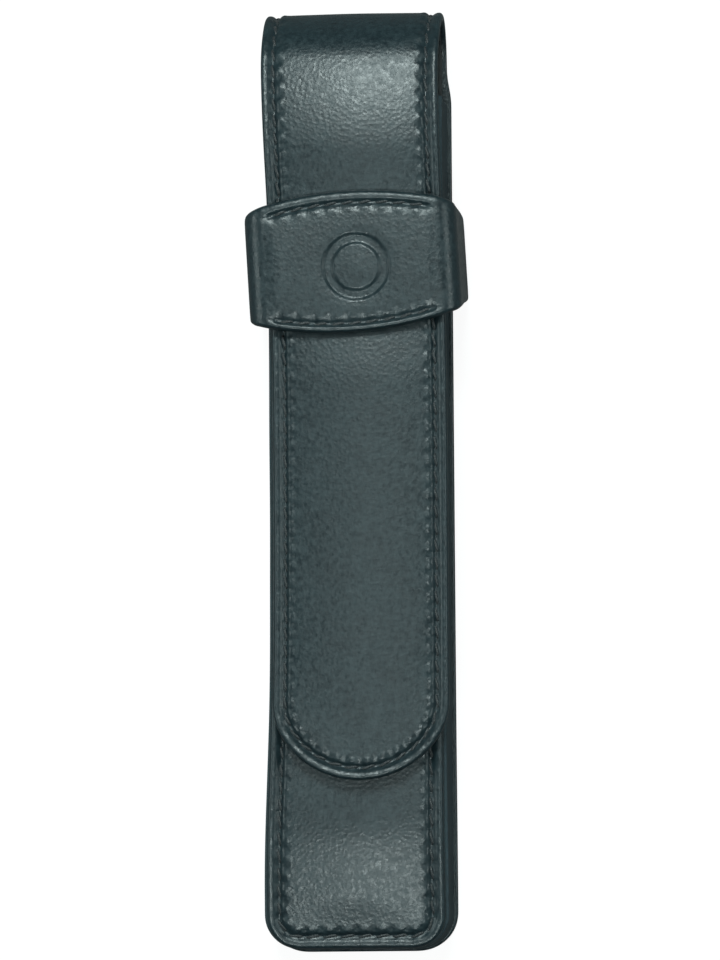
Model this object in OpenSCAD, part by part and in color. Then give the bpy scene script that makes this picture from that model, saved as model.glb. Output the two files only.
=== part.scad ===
// Single pen sleeve of soft leather, lying on its back.
// The flap folds over the top, runs down the front and tucks under a sewn band.
// +X points right across the front, +Y to the fold at the top, +Z out of the front.

/* [Sleeve] */
// Length from the bottom edge to the top of the fold
sleeve_l = 165; // [150:1:190]
// Width of the back
back_w = 33; // [30:0.5:44]
// Radius of the two bottom corners of the back
corner_r = 6.6; // [6:0.1:12]
// How far the front panel stays inside the back, all round
front_inset = 1; // [0.6:0.1:2]
// Distance from the top of the fold down to the mouth
mouth_drop = 15.5; // [14:0.5:22]
// Room for the pen, from lining to lining
pocket_d = 12.4; // [10:0.2:16]

/* [Leather and lining] */
// Thickness of the outer leather
skin_t = 0.8; // [0.6:0.05:1.2]
// Thickness of the turned-in hem, and of the boards that lie inside it
hem_t = 0.6; // [0.4:0.05:1]
// Width of the turned-in hem
hem_w = 5; // [4:0.1:6]
// Thickness of the lining
lining_t = 0.5; // [0.3:0.05:0.8]
// How far the lining stays inside the leather's edge
lining_inset = 0.8; // [0.4:0.1:1.5]
// Gap between a board and the hem round it
board_gap = 0.3; // [0.1:0.05:0.6]

/* [Gusset] */
// Thickness of the gusset's side wall
gusset_t = 0.9; // [0.6:0.05:1.4]
// Thickness of the gusset's two seam flanges
flange_t = 0.8; // [0.5:0.05:1.2]
// Width of each seam flange, measured from the outside of the wall
flange_w = 4.9; // [4:0.1:6]
// How far the wall stays inside the edge of the back
gusset_inset = 0.5; // [0.2:0.1:0.8]

/* [Flap] */
// How far the flap stays inside the back on each side
flap_inset = 0.75; // [0.5:0.05:2]
// Distance from the top of the fold down to the tip of the flap
flap_reach = 135.2; // [115:0.5:142]
// Gap between the front panel and the flap's lining
flap_gap = 0.2; // [0.1:0.05:0.5]
// Height of the rounded end of the flap
tail_round_h = 13.6; // [12.8:0.1:14.6]
// Radius of the two shoulders of the rounded end
tail_shoulder_r = 11; // [9:0.5:12]
// Gap left where one stiff stretch of the flap meets the next
fold_gap = 0.1; // [0.05:0.01:0.2]
// Distance from the band's lower edge to the line where the tail bends
tail_bend_gap = 3; // [2:0.5:8]

/* [Band] */
// Distance from the top of the fold down to the middle of the band
band_drop = 44.5; // [38:0.5:60]
// Height of the band in the middle of the front
band_h = 24.2; // [20:0.2:28]
// Height of the band where it turns round the sides
band_side_h = 17.4; // [12:0.2:18.5]
// Thickness of the band's leather
band_t = 1.1; // [0.8:0.05:1.5]
// Gap between the band's lining and the edge of the back
band_side_gap = 0.2; // [0.1:0.05:0.5]
// Gap between the flap and the band's lining
band_front_gap = 0.6; // [0.5:0.05:1]
// Inner radius of the band's two bends
band_bend_r = 2; // [1:0.1:2.2]
// Turn of the band's outline, seen from the front
band_turn = 2; // [0:0.5:3]
// Width of the skived tabs that are caught in the back seam
tab_w = 4.2; // [3:0.1:5]
// Gap between the tabs and the lining round them
tab_clearance = 0.1; // [0.05:0.05:0.3]
// Outer radius of the plain sunk ring on the band
ring_r = 5.4; // [4:0.1:6]
// Width of the sunk ring
ring_w = 0.9; // [0.6:0.1:1.5]
// Depth of the sunk ring
ring_depth = 0.3; // [0.1:0.05:0.5]

/* [Stitching] */
// Distance from one stitch to the next
pitch = 3; // [2.6:0.1:4]
// Length of a stitch
stitch_l = 2.2; // [1.6:0.1:2.4]
// Width of a stitch
stitch_w = 0.6; // [0.4:0.05:0.8]
// Height of a stitch
stitch_t = 0.3; // [0.2:0.02:0.34]
// Width of the groove that the stitches lie in
groove_w = 1; // [0.9:0.05:1.4]
// Depth of that groove
groove_depth = 0.35; // [0.35:0.01:0.45]
// Distance from the front panel's edge to its stitches
seam_inset = 2.4; // [2:0.1:3]
// Distance from the flap's edge to its stitches
flap_seam_inset = 2.2; // [1.8:0.1:3.2]
// Distance from the band's edge to its stitches
band_seam_inset = 1.9; // [1.5:0.1:2.4]
// Distance from the end of the flat front of the band to the last stitch
band_seam_end = 1.2; // [0.8:0.1:3]

/* [Hidden] */
$fn = 64;

leather_colour = "#2c3438";
lining_colour = "#3b3f40";
board_colour = "#8c7f6b";
thread_colour = "#14181a";

bottom_y = -sleeve_l / 2;
top_y = sleeve_l / 2;
mouth_y = top_y - mouth_drop;
panel_t = skin_t + hem_t;
wall_t = panel_t + lining_t;
front_z = 2 * wall_t + pocket_d;
gusset_h = pocket_d;

flap_w = back_w - 2 * flap_inset;
flap_z = front_z + flap_gap;
flap_top = flap_z + wall_t;
tail_y = top_y - flap_reach;

// The fold is half a turn in five stretches: two half ones that belong to the back and to the
// flap, and three whole ones between them. It unrolls at the four lines where they meet.
crown_r = flap_top / 2;
crown_y = top_y - crown_r;
crown_step = 45;
crown_start = crown_step / 2;
fold_gap_turn = fold_gap / crown_r * 180 / PI;

band_y = top_y - band_drop;
band_lining_half = back_w / 2 + band_side_gap;
band_half = band_lining_half + lining_t + band_t;
band_lining_top = flap_top + band_front_gap;
band_top = band_lining_top + lining_t + band_t;
band_rise = (band_h - band_side_h) / 2;
band_edge_r = (band_half * band_half + band_rise * band_rise) / (2 * band_rise);
band_outer_bend_r = band_bend_r + lining_t + band_t;
band_seam_half = band_half - band_outer_bend_r - band_seam_end;

tail_bend_y = band_y - band_h / 2 - tail_bend_gap;

// The tail's end is a flat arc between two rounder shoulders, all tangent.
tail_half = flap_w / 2;
tail_shoulder_x = tail_half - tail_shoulder_r;
tail_shoulder_y = tail_y + tail_round_h;
tail_end_r = (tail_shoulder_x * tail_shoulder_x + tail_round_h * tail_round_h
    - tail_shoulder_r * tail_shoulder_r) / (2 * (tail_round_h - tail_shoulder_r));
tail_end_y = tail_y + tail_end_r;
tail_end_turn = atan2(tail_shoulder_x, tail_end_y - tail_shoulder_y);

// Flat outline of the pouch, drawn in from the back's edge, with round bottom corners.
module sleeve_outline(inset, top) {
    w = back_w - 2 * inset;
    r = max(corner_r - inset, 0.5);
    low = bottom_y + inset;
    translate([-w / 2, low + r]) square([w, top - low - r]);
    translate([-w / 2 + r, low]) square([w - 2 * r, top - low]);
    for (side = [-1, 1]) translate([side * (w / 2 - r), low + r]) circle(r);
}

// Outline between the mouth and the fold, where the back narrows to the flap's width.
module neck_outline(inset) {
    wide = back_w / 2 - inset;
    narrow = flap_w / 2 - inset;
    polygon([[-wide, mouth_y], [wide, mouth_y], [narrow, crown_y], [-narrow, crown_y]]);
}

// A curved stretch of the fold between two turns, counted from the back over the top.
module fold_stretch(r_in, r_out, w, from, to) {
    translate([0, crown_y, crown_r]) rotate([0, 90, 0]) rotate([0, 0, from])
        rotate_extrude(angle = to - from) translate([r_in, -w / 2]) square([r_out - r_in, w]);
}

module crown_leather(index) {
    from = crown_start + index * crown_step;
    color(leather_colour) fold_stretch(crown_r - panel_t, crown_r, flap_w,
        from + fold_gap_turn / 2, from + crown_step - fold_gap_turn / 2);
}

module crown_lining(index) {
    from = crown_start + index * crown_step;
    color(lining_colour) fold_stretch(crown_r - wall_t, crown_r - panel_t, flap_w - 2 * lining_inset,
        from + fold_gap_turn / 2, from + crown_step - fold_gap_turn / 2);
}

// One stitch: a short flat bar lying along +X of its own place.
module stitch() {
    translate([-stitch_l / 2, -stitch_w / 2, 0]) cube([stitch_l, stitch_w, stitch_t]);
}

// Place and turn of a point on the pouch's seam, measured from the middle of the bottom.
function seam_place(s, inset) =
    let (r = max(corner_r - inset, 0.5),
        flat = back_w / 2 - inset - r,
        bend = r * PI / 2,
        low = bottom_y + inset,
        turn = (s - flat) / r * 180 / PI)
    s <= flat ? [s, low, 0]
    : s <= flat + bend ? [flat + r * sin(turn), low + r - r * cos(turn), turn]
    : [flat + r, low + r + s - flat - bend, 90];

function seam_length(inset, top) =
    let (r = max(corner_r - inset, 0.5))
    back_w / 2 - inset - r + r * PI / 2 + top - bottom_y - inset - r;

// Stitches down both sides of the pouch and round its bottom.
module pouch_stitches(inset, top) {
    count = floor((seam_length(inset, top) - stitch_l / 2) / pitch - 0.5) + 1;
    for (side = [-1, 1]) for (i = [0 : count - 1]) {
        place = seam_place((i + 0.5) * pitch, inset);
        mirror([side < 0 ? 1 : 0, 0, 0]) translate([place[0], place[1], 0]) rotate(place[2]) stitch();
    }
}

module pouch_groove(inset, top) {
    difference() {
        sleeve_outline(inset - groove_w / 2, top);
        sleeve_outline(inset + groove_w / 2, top + 1);
    }
}

// Place and turn of a point on the tail's seam, measured from the tip.
function tail_place(s, inset) =
    let (end_r = tail_end_r - inset,
        shoulder_r = tail_shoulder_r - inset,
        end_arc = end_r * tail_end_turn * PI / 180,
        shoulder_arc = shoulder_r * (90 - tail_end_turn) * PI / 180,
        end_angle = s / end_r * 180 / PI,
        shoulder_angle = tail_end_turn + (s - end_arc) / shoulder_r * 180 / PI)
    s <= end_arc ? [end_r * sin(end_angle), tail_end_y - end_r * cos(end_angle), end_angle]
    : s <= end_arc + shoulder_arc ? [tail_shoulder_x + shoulder_r * sin(shoulder_angle),
        tail_shoulder_y - shoulder_r * cos(shoulder_angle), shoulder_angle]
    : [tail_half - inset, tail_shoulder_y + s - end_arc - shoulder_arc, 90];

function tail_arc(inset) =
    ((tail_end_r - inset) * tail_end_turn + (tail_shoulder_r - inset) * (90 - tail_end_turn)) * PI / 180;

// Outline of the tail, drawn in from the flap's edge, up to a straight top.
module tail_outline(inset, top) {
    steps = 16;
    half = [for (i = [0 : steps]) tail_place(i / steps * tail_arc(inset), inset)];
    polygon([
        for (i = [0 : steps]) [half[i][0], half[i][1]],
        [tail_half - inset, top],
        [-(tail_half - inset), top],
        for (i = [steps : -1 : 1]) [-half[i][0], half[i][1]]
    ]);
}

module rows(half_w, low, high) {
    for (side = [-1, 1]) translate([side * half_w - groove_w / 2, low]) square([groove_w, high - low]);
}

// Outline of the band seen from the front: two shallow arcs that meet past the sides.
module band_outline(inset) {
    rise = band_edge_r - band_h / 2;
    translate([0, band_y]) rotate(band_turn) intersection_for (side = [-1, 1])
        translate([0, side * rise]) circle(band_edge_r - inset, $fn = 256);
}

// Arch that the band makes round the sleeve, drawn across it.
module band_arch(half_w, low, high, r) {
    translate([-half_w, low]) square([2 * half_w, high - r - low]);
    translate([-half_w + r, low]) square([2 * (half_w - r), high - low]);
    for (side = [-1, 1]) translate([side * (half_w - r), high - r]) circle(r);
}

module along_sleeve(l) {
    translate([0, band_y, 0]) rotate([90, 0, 0]) linear_extrude(l, center = true) children();
}

// The band's skived tabs under the gusset, or with a clearance the notches that they lie in.
module band_tabs(clearance) {
    tab_in = back_w / 2 - tab_w - clearance;
    intersection() {
        along_sleeve(2 * band_h) for (side = [0, 1]) mirror([side, 0])
            translate([tab_in, panel_t - clearance]) square([band_half - tab_in, lining_t + 2 * clearance]);
        linear_extrude(band_top) band_outline(-clearance);
    }
}

module band_groove(edge) {
    translate([0, band_y]) rotate(band_turn) translate([0, -edge * (band_edge_r - band_h / 2)])
        intersection() {
            difference() {
                circle(band_edge_r - band_seam_inset + groove_w / 2, $fn = 256);
                circle(band_edge_r - band_seam_inset - groove_w / 2, $fn = 256);
            }
            translate([-band_seam_half, edge > 0 ? 0 : -band_edge_r])
                square([2 * band_seam_half, band_edge_r]);
        }
}

module band_stitches(edge) {
    r = band_edge_r - band_seam_inset;
    step = pitch / r * 180 / PI;
    reach = asin((band_seam_half - stitch_l / 2 - groove_w / 2) / r);
    count = floor(reach / step);
    color(thread_colour) translate([0, band_y, band_top - groove_depth]) rotate(band_turn)
        translate([0, -edge * (band_edge_r - band_h / 2), 0])
        for (i = [-count : count]) rotate(i * step) translate([0, edge * r, 0]) stitch();
}

module back_panel() {
    color(leather_colour) difference() {
        union() {
            linear_extrude(panel_t) sleeve_outline(0, mouth_y);
            linear_extrude(panel_t) neck_outline(0);
            fold_stretch(crown_r - panel_t, crown_r, flap_w, 0, crown_start - fold_gap_turn / 2);
        }
        translate([0, 0, skin_t]) linear_extrude(panel_t) sleeve_outline(hem_w, mouth_y);
        translate([0, 0, -1]) linear_extrude(1 + groove_depth)
            pouch_groove(front_inset + seam_inset, mouth_y);
    }
}

module back_stiffener() {
    color(board_colour) translate([0, 0, skin_t]) linear_extrude(hem_t)
        sleeve_outline(hem_w + board_gap, mouth_y - board_gap);
}

module back_lining() {
    color(lining_colour) difference() {
        union() {
            translate([0, 0, panel_t]) linear_extrude(lining_t) sleeve_outline(lining_inset, mouth_y);
            translate([0, 0, panel_t]) linear_extrude(lining_t) neck_outline(lining_inset);
            fold_stretch(crown_r - wall_t, crown_r - panel_t, flap_w - 2 * lining_inset,
                0, crown_start - fold_gap_turn / 2);
        }
        band_tabs(tab_clearance);
    }
}

module back_seam_thread() {
    color(thread_colour) translate([0, 0, groove_depth - stitch_t])
        pouch_stitches(front_inset + seam_inset, mouth_y);
}

module gusset() {
    color(leather_colour) translate([0, 0, wall_t]) difference() {
        linear_extrude(gusset_h) sleeve_outline(gusset_inset, mouth_y);
        translate([0, 0, -1]) linear_extrude(gusset_h + 2)
            sleeve_outline(gusset_inset + flange_w, mouth_y + 1);
        translate([0, 0, flange_t]) linear_extrude(gusset_h - 2 * flange_t)
            sleeve_outline(gusset_inset + gusset_t, mouth_y + 1);
    }
}

module front_panel() {
    seam_y = mouth_y - seam_inset;
    seam_half = back_w / 2 - front_inset - seam_inset;
    color(leather_colour) difference() {
        translate([0, 0, front_z - panel_t]) linear_extrude(panel_t) sleeve_outline(front_inset, mouth_y);
        translate([0, 0, front_z - panel_t - 1]) linear_extrude(hem_t + 1)
            sleeve_outline(front_inset + hem_w, mouth_y - hem_w);
        translate([0, 0, front_z - groove_depth]) linear_extrude(1)
            pouch_groove(front_inset + seam_inset, mouth_y);
        translate([-seam_half, seam_y - groove_w / 2, front_z - groove_depth])
            cube([2 * seam_half, groove_w, 1]);
    }
}

module front_stiffener() {
    color(board_colour) translate([0, 0, front_z - panel_t]) linear_extrude(hem_t)
        sleeve_outline(front_inset + hem_w + board_gap, mouth_y - hem_w - board_gap);
}

module front_lining() {
    color(lining_colour) translate([0, 0, front_z - wall_t]) linear_extrude(lining_t)
        sleeve_outline(front_inset + lining_inset, mouth_y - lining_inset);
}

module front_seam_thread() {
    color(thread_colour) translate([0, 0, front_z - groove_depth])
        pouch_stitches(front_inset + seam_inset, mouth_y - seam_inset - pitch / 2);
}

module mouth_thread() {
    half = back_w / 2 - front_inset - seam_inset - pitch / 2;
    count = floor((half - stitch_l / 2) / pitch);
    color(thread_colour) for (i = [-count : count])
        translate([i * pitch, mouth_y - seam_inset, front_z - groove_depth]) stitch();
}

module band() {
    color(leather_colour) difference() {
        union() {
            intersection() {
                along_sleeve(2 * band_h) difference() {
                    band_arch(band_half, panel_t, band_top, band_outer_bend_r);
                    band_arch(band_half - band_t, panel_t - 1, band_top - band_t, band_outer_bend_r - band_t);
                }
                linear_extrude(band_top + 1) band_outline(0);
            }
            band_tabs(0);
        }
        translate([0, 0, band_top - groove_depth]) linear_extrude(1) band_groove(1);
        translate([0, 0, band_top - groove_depth]) linear_extrude(1) band_groove(-1);
        translate([0, band_y, band_top - ring_depth]) difference() {
            cylinder(r = ring_r, h = 1);
            translate([0, 0, -1]) cylinder(r = ring_r - ring_w, h = 3);
        }
    }
}

module band_lining() {
    color(lining_colour) intersection() {
        along_sleeve(2 * band_h) difference() {
            band_arch(band_lining_half + lining_t, wall_t,
                band_lining_top + lining_t, band_bend_r + lining_t);
            band_arch(band_lining_half, wall_t - 1, band_lining_top, band_bend_r);
        }
        linear_extrude(band_top + 1) band_outline(lining_inset);
    }
}

module band_upper_thread() {
    band_stitches(1);
}

module band_lower_thread() {
    band_stitches(-1);
}

module crown_rear_leather() {
    crown_leather(0);
}

module crown_top_leather() {
    crown_leather(1);
}

module crown_front_leather() {
    crown_leather(2);
}

module crown_rear_lining() {
    crown_lining(0);
}

module crown_top_lining() {
    crown_lining(1);
}

module crown_front_lining() {
    crown_lining(2);
}

module flap_leather() {
    low = tail_bend_y + fold_gap / 2;
    color(leather_colour) difference() {
        union() {
            translate([-flap_w / 2, low, flap_top - panel_t]) cube([flap_w, crown_y - low, panel_t]);
            fold_stretch(crown_r - panel_t, crown_r, flap_w, 180 - crown_start + fold_gap_turn / 2, 180);
        }
        translate([-flap_w / 2 + hem_w, low - 1, flap_top - panel_t - 1])
            cube([flap_w - 2 * hem_w, crown_y - low + 1 - hem_w, hem_t + 1]);
        translate([0, 0, flap_top - groove_depth]) linear_extrude(1)
            rows(flap_w / 2 - flap_seam_inset, low - 1, crown_y);
    }
}

module flap_padding() {
    half = flap_w / 2 - hem_w - board_gap;
    low = tail_bend_y + fold_gap / 2;
    color(board_colour) translate([-half, low, flap_top - panel_t])
        cube([2 * half, crown_y - hem_w - board_gap - low, hem_t]);
}

module flap_lining() {
    half = flap_w / 2 - lining_inset;
    low = tail_bend_y + fold_gap / 2;
    color(lining_colour) {
        translate([-half, low, flap_z]) cube([2 * half, crown_y - low, lining_t]);
        fold_stretch(crown_r - wall_t, crown_r - panel_t, 2 * half,
            180 - crown_start + fold_gap_turn / 2, 180);
    }
}

module flap_thread() {
    length = crown_y - tail_bend_y;
    count = floor(length / pitch);
    color(thread_colour) for (side = [-1, 1]) for (i = [0 : count - 1])
        translate([side * (flap_w / 2 - flap_seam_inset), tail_bend_y + (i + 0.5) * pitch,
            flap_top - groove_depth]) rotate(90) stitch();
}

module tail_leather() {
    high = tail_bend_y - fold_gap / 2;
    color(leather_colour) difference() {
        translate([0, 0, flap_top - panel_t]) linear_extrude(panel_t) tail_outline(0, high);
        translate([0, 0, flap_top - panel_t - 1]) linear_extrude(hem_t + 1) tail_outline(hem_w, high + 1);
        translate([0, 0, flap_top - groove_depth]) linear_extrude(1) difference() {
            tail_outline(flap_seam_inset - groove_w / 2, high + 1);
            tail_outline(flap_seam_inset + groove_w / 2, high + 2);
        }
    }
}

module tail_padding() {
    color(board_colour) translate([0, 0, flap_top - panel_t]) linear_extrude(hem_t)
        tail_outline(hem_w + board_gap, tail_bend_y - fold_gap / 2);
}

module tail_lining() {
    color(lining_colour) translate([0, 0, flap_z]) linear_extrude(lining_t)
        tail_outline(lining_inset, tail_bend_y - fold_gap / 2);
}

module tail_thread() {
    length = tail_arc(flap_seam_inset) + tail_bend_y - tail_shoulder_y;
    count = floor(length / pitch);
    color(thread_colour) translate([0, 0, flap_top - groove_depth])
        for (side = [-1, 1]) for (i = [0 : count - 1]) {
            place = tail_place((i + 0.5) * pitch, flap_seam_inset);
            mirror([side < 0 ? 1 : 0, 0, 0]) translate([place[0], place[1], 0]) rotate(place[2]) stitch();
        }
}

back_panel();
back_stiffener();
back_lining();
back_seam_thread();
gusset();
front_panel();
front_stiffener();
front_lining();
front_seam_thread();
mouth_thread();
band();
band_lining();
band_upper_thread();
band_lower_thread();
crown_rear_leather();
crown_top_leather();
crown_front_leather();
crown_rear_lining();
crown_top_lining();
crown_front_lining();
flap_leather();
flap_padding();
flap_lining();
flap_thread();
tail_leather();
tail_padding();
tail_lining();
tail_thread();
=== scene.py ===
import bpy
import bmesh
import math
from mathutils import Vector, Matrix, Euler, kdtree


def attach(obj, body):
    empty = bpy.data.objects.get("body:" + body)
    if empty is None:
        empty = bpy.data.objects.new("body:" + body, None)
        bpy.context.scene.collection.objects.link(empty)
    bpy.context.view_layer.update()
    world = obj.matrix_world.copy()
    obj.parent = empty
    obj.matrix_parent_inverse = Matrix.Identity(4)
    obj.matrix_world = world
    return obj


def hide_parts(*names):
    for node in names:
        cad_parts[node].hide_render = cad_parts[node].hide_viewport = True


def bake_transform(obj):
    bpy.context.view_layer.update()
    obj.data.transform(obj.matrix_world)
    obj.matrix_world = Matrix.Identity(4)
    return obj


# A slim leather sleeve for one pen, lying on its back: flap over the top, tucked under a sewn band.
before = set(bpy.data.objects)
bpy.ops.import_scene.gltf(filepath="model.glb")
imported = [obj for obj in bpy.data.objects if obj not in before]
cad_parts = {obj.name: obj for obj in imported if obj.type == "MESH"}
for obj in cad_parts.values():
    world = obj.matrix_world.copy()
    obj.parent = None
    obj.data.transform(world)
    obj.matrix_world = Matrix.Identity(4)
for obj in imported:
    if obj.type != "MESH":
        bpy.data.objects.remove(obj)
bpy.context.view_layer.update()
bpy.ops.object.select_all(action="DESELECT")
mm = 0.001

# Small helpers


def hexColour(text):
    parts = [int(text[i:i + 2], 16) / 255 for i in (1, 3, 5)]
    return [c / 12.92 if c <= 0.04045 else ((c + 0.055) / 1.055) ** 2.4 for c in parts] + [1.0]


def ease(a, b, value):  # 0 before a, 1 after b, smooth between
    t = min(max((value - a) / (b - a), 0.0), 1.0)
    return t * t * (3 - 2 * t)


def choose(piece):
    bpy.ops.object.select_all(action="DESELECT")
    piece.select_set(True)
    bpy.context.view_layer.objects.active = piece


def copyOf(piece):
    copy = piece.copy()
    copy.data = piece.data.copy()
    bpy.context.collection.objects.link(copy)
    return copy


def openEdit(piece):
    choose(piece)
    bpy.ops.object.mode_set(mode="EDIT")


def closeEdit():
    bpy.ops.object.mode_set(mode="OBJECT")


def pick(kind, rule):  # selects what the rule says yes to, by the middle of each element, in mm
    bpy.ops.mesh.select_mode(type=kind)
    bpy.ops.mesh.select_all(action="DESELECT")
    mesh = bmesh.from_edit_mesh(bpy.context.object.data)
    if kind == "VERT":
        for vert in mesh.verts:
            vert.select_set(bool(rule(vert.co / mm)))
    else:
        for item in (mesh.edges if kind == "EDGE" else mesh.faces):
            middle = sum((v.co for v in item.verts), Vector()) / len(item.verts) / mm
            if rule(middle):
                item.select_set(True)
    mesh.select_flush_mode()
    bmesh.update_edit_mesh(bpy.context.object.data)


def pickFlat(side):  # the one big face on the upper or the lower side
    bpy.ops.mesh.select_mode(type="FACE")
    bpy.ops.mesh.select_all(action="DESELECT")
    mesh = bmesh.from_edit_mesh(bpy.context.object.data)
    faces = [f for f in mesh.faces if f.normal.z * side > 0.5]
    max(faces, key=lambda f: len(f.verts)).select_set(True)
    mesh.select_flush_mode()
    bmesh.update_edit_mesh(bpy.context.object.data)


def cutFine(step):  # cuts every edge that is longer than the step, those of one length together
    bpy.ops.mesh.select_mode(type="EDGE")
    for _ in range(12):
        mesh = bmesh.from_edit_mesh(bpy.context.object.data)
        longest = max(e.calc_length() / mm for e in mesh.edges)
        if longest < 1.6 * step:
            return
        bpy.ops.mesh.select_all(action="DESELECT")
        for edge in mesh.edges:
            if edge.calc_length() / mm > 0.9 * longest:
                edge.select_set(True)
        bmesh.update_edit_mesh(bpy.context.object.data)
        bpy.ops.mesh.subdivide(number_cuts=min(99, max(1, round(longest / step) - 1)))


def mould(piece, rule):  # moves each vertex by hand, in mm
    for vert in piece.data.vertices:
        x, y, z = vert.co / mm
        vert.co = Vector(rule(x, y, z)) * mm
    piece.data.update()


def smooth(piece, levels):
    choose(piece)
    if levels:
        finer = piece.modifiers.new("finer", "SUBSURF")
        finer.levels = finer.render_levels = levels
        bpy.ops.object.modifier_apply(modifier=finer.name)
    bpy.ops.object.shade_smooth()


def addWall(piece, thick):  # gives a sheet its thickness, towards its inner side
    choose(piece)
    wall = piece.modifiers.new("wall", "SOLIDIFY")
    wall.thickness, wall.offset = thick * mm, -1
    bpy.ops.object.modifier_apply(modifier=wall.name)


def treeOf(points):  # finds the nearest of some points
    tree = kdtree.KDTree(len(points))
    for i, point in enumerate(points):
        tree.insert(point, i)
    tree.balance()
    return tree


def addPlane(name, half, low, high):  # a flat sheet to cut from, opened for editing
    bpy.ops.object.select_all(action="DESELECT")
    bpy.ops.mesh.primitive_plane_add(size=1, location=(0, (low + high) / 2 * mm, 0))
    piece = bpy.context.object
    piece.name = piece.data.name = name
    piece.scale = (2 * half * mm, (high - low) * mm, 1)
    bpy.ops.object.transform_apply(location=True, rotation=True, scale=True)
    openEdit(piece)
    return piece


def ringsIn(profile, start):  # insets one after another; each pair is how far in and how high
    inBefore, highBefore = start
    for inward, high in profile:
        bpy.ops.mesh.inset(thickness=(inward - inBefore) * mm, depth=(high - highBefore) * mm,
                           use_boundary=True, use_even_offset=True)
        inBefore, highBefore = inward, high


def closeMiddle(shares, middle, rise, side):  # narrows the last face to its middle line
    wide = 1.0
    for share, length in shares:
        bpy.ops.mesh.extrude_region()
        bpy.ops.transform.resize(value=(share / wide, length, 1), center_override=(0, middle * mm, 0))
        bpy.ops.transform.translate(value=(0, 0, rise * side * mm))
        wide = share
    bpy.ops.mesh.extrude_region()
    bpy.ops.transform.resize(value=(0, 1, 1), center_override=(0, middle * mm, 0))
    bpy.ops.mesh.delete(type="ONLY_FACE")
    bpy.ops.mesh.select_all(action="SELECT")
    bpy.ops.mesh.remove_doubles(threshold=0.002 * mm)


# How the worn sleeve lies

lie = {
    "crownY": 73.35, "crownR": 9.15,        # middle and outer radius of the fold
    "bowY": 8, "bowLength": 62, "bow": 0.5,  # the pouch bows to the right at its waist
    "waist": 0.5,                            # and is a little slimmer there, on each side
    "topBend": 0.0137, "topMost": 0.4, "topFrom": 56,     # the fold pulls the mouth end down
    "endBend": 0.0135, "endMost": 0.15, "endFrom": -57,   # and the bottom end thins out
    "endShift": -0.2, "endWide": 0.25,       # the bottom end sits a little to the left and spreads
    "spread": (-40, -72), "half": 16,        # from where to where it spreads; half the pouch's width
    "flapLeanTop": -0.4, "flapLeanTail": 1.0,  # the flap lies askew
    "leanAlong": (78, 10), "leanFade": (86, 70), "leanUp": (4, 15),  # along the flap, at the fold, by height
    "curl": 1.6, "curlFrom": -22,            # and the tip of its tail curls up
}


def droop(way, bend, most):  # how far a top face has sunk, its slope growing up to a limit
    if way <= 0:
        return 0.0
    turning = min(way, most / bend)
    return 0.5 * bend * turning ** 2 + most * (way - turning)


def settle(x, y, z, slim=1.0):  # the same lie for every piece of the pouch
    mid = math.exp(-((y - lie["bowY"]) / lie["bowLength"]) ** 4) * slim
    end = ease(*lie["spread"], y)
    wider = (lie["endWide"] * end - lie["waist"] * mid) / lie["half"]
    x = x * (1 + wider) + lie["bow"] * mid + lie["endShift"] * end
    top = droop(min(y, lie["crownY"] + lie["crownR"]) - lie["topFrom"], lie["topBend"], lie["topMost"])
    low = droop(lie["endFrom"] - y, lie["endBend"], lie["endMost"])
    return x, y, z * (1 - (top + low) / (2 * lie["crownR"]))


def leanFlap(x, y, z):  # the flap slides sideways over the front
    over = ease(*lie["leanUp"], z)
    shift = lie["flapLeanTop"] + (lie["flapLeanTail"] - lie["flapLeanTop"]) * ease(*lie["leanAlong"], y)
    return x + shift * over * ease(*lie["leanFade"], y), y, z


# One stitch and its copies

stitchOf = {"length": 2.5, "thick": 0.52, "high": 0.34, "slant": 9, "pitch": 3.0,
            "pinch": 0.45, "twist": 0.06, "dive": 0.34}  # thinner, turned and lower towards its ends
puckerOf = {"reach": 3.2, "along": 2.2, "outerWide": 0.5, "innerWide": 0.75,  # how far a stitch draws in
            "puffAt": 1.1, "puffWide": 0.5, "outerPuff": 0.3}  # where and how the leather puffs up beside it


def makeStitch():
    bpy.ops.object.select_all(action="DESELECT")
    bpy.ops.mesh.primitive_cylinder_add(vertices=7, radius=0.5 * mm, depth=stitchOf["length"] * mm,
                                        end_fill_type="TRIFAN", rotation=(0, math.pi / 2, 0))
    piece = bpy.context.object
    bpy.ops.object.transform_apply(location=True, rotation=True, scale=True)
    openEdit(piece)
    for cut in (-0.95, -0.5, 0, 0.5, 0.95):
        bpy.ops.mesh.select_all(action="SELECT")
        bpy.ops.mesh.bisect(plane_co=(cut * mm, 0, 0), plane_no=(1, 0, 0))
    bpy.ops.mesh.select_all(action="SELECT")
    bpy.ops.mesh.normals_make_consistent(inside=False)
    closeEdit()
    half = stitchOf["length"] / 2

    def lay(x, y, z):  # thick in the middle, diving into the holes at both ends
        along = x / half
        fat = 1 - stitchOf["pinch"] * along ** 4
        twist = stitchOf["twist"] * math.sin(along * 3.1)
        return (x, y * stitchOf["thick"] * fat + twist,
                z * stitchOf["high"] * fat - stitchOf["dive"] * along ** 4)
    mould(piece, lay)
    smooth(piece, 0)
    return piece


oneStitch = makeStitch()
print("one stitch modelled")


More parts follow.
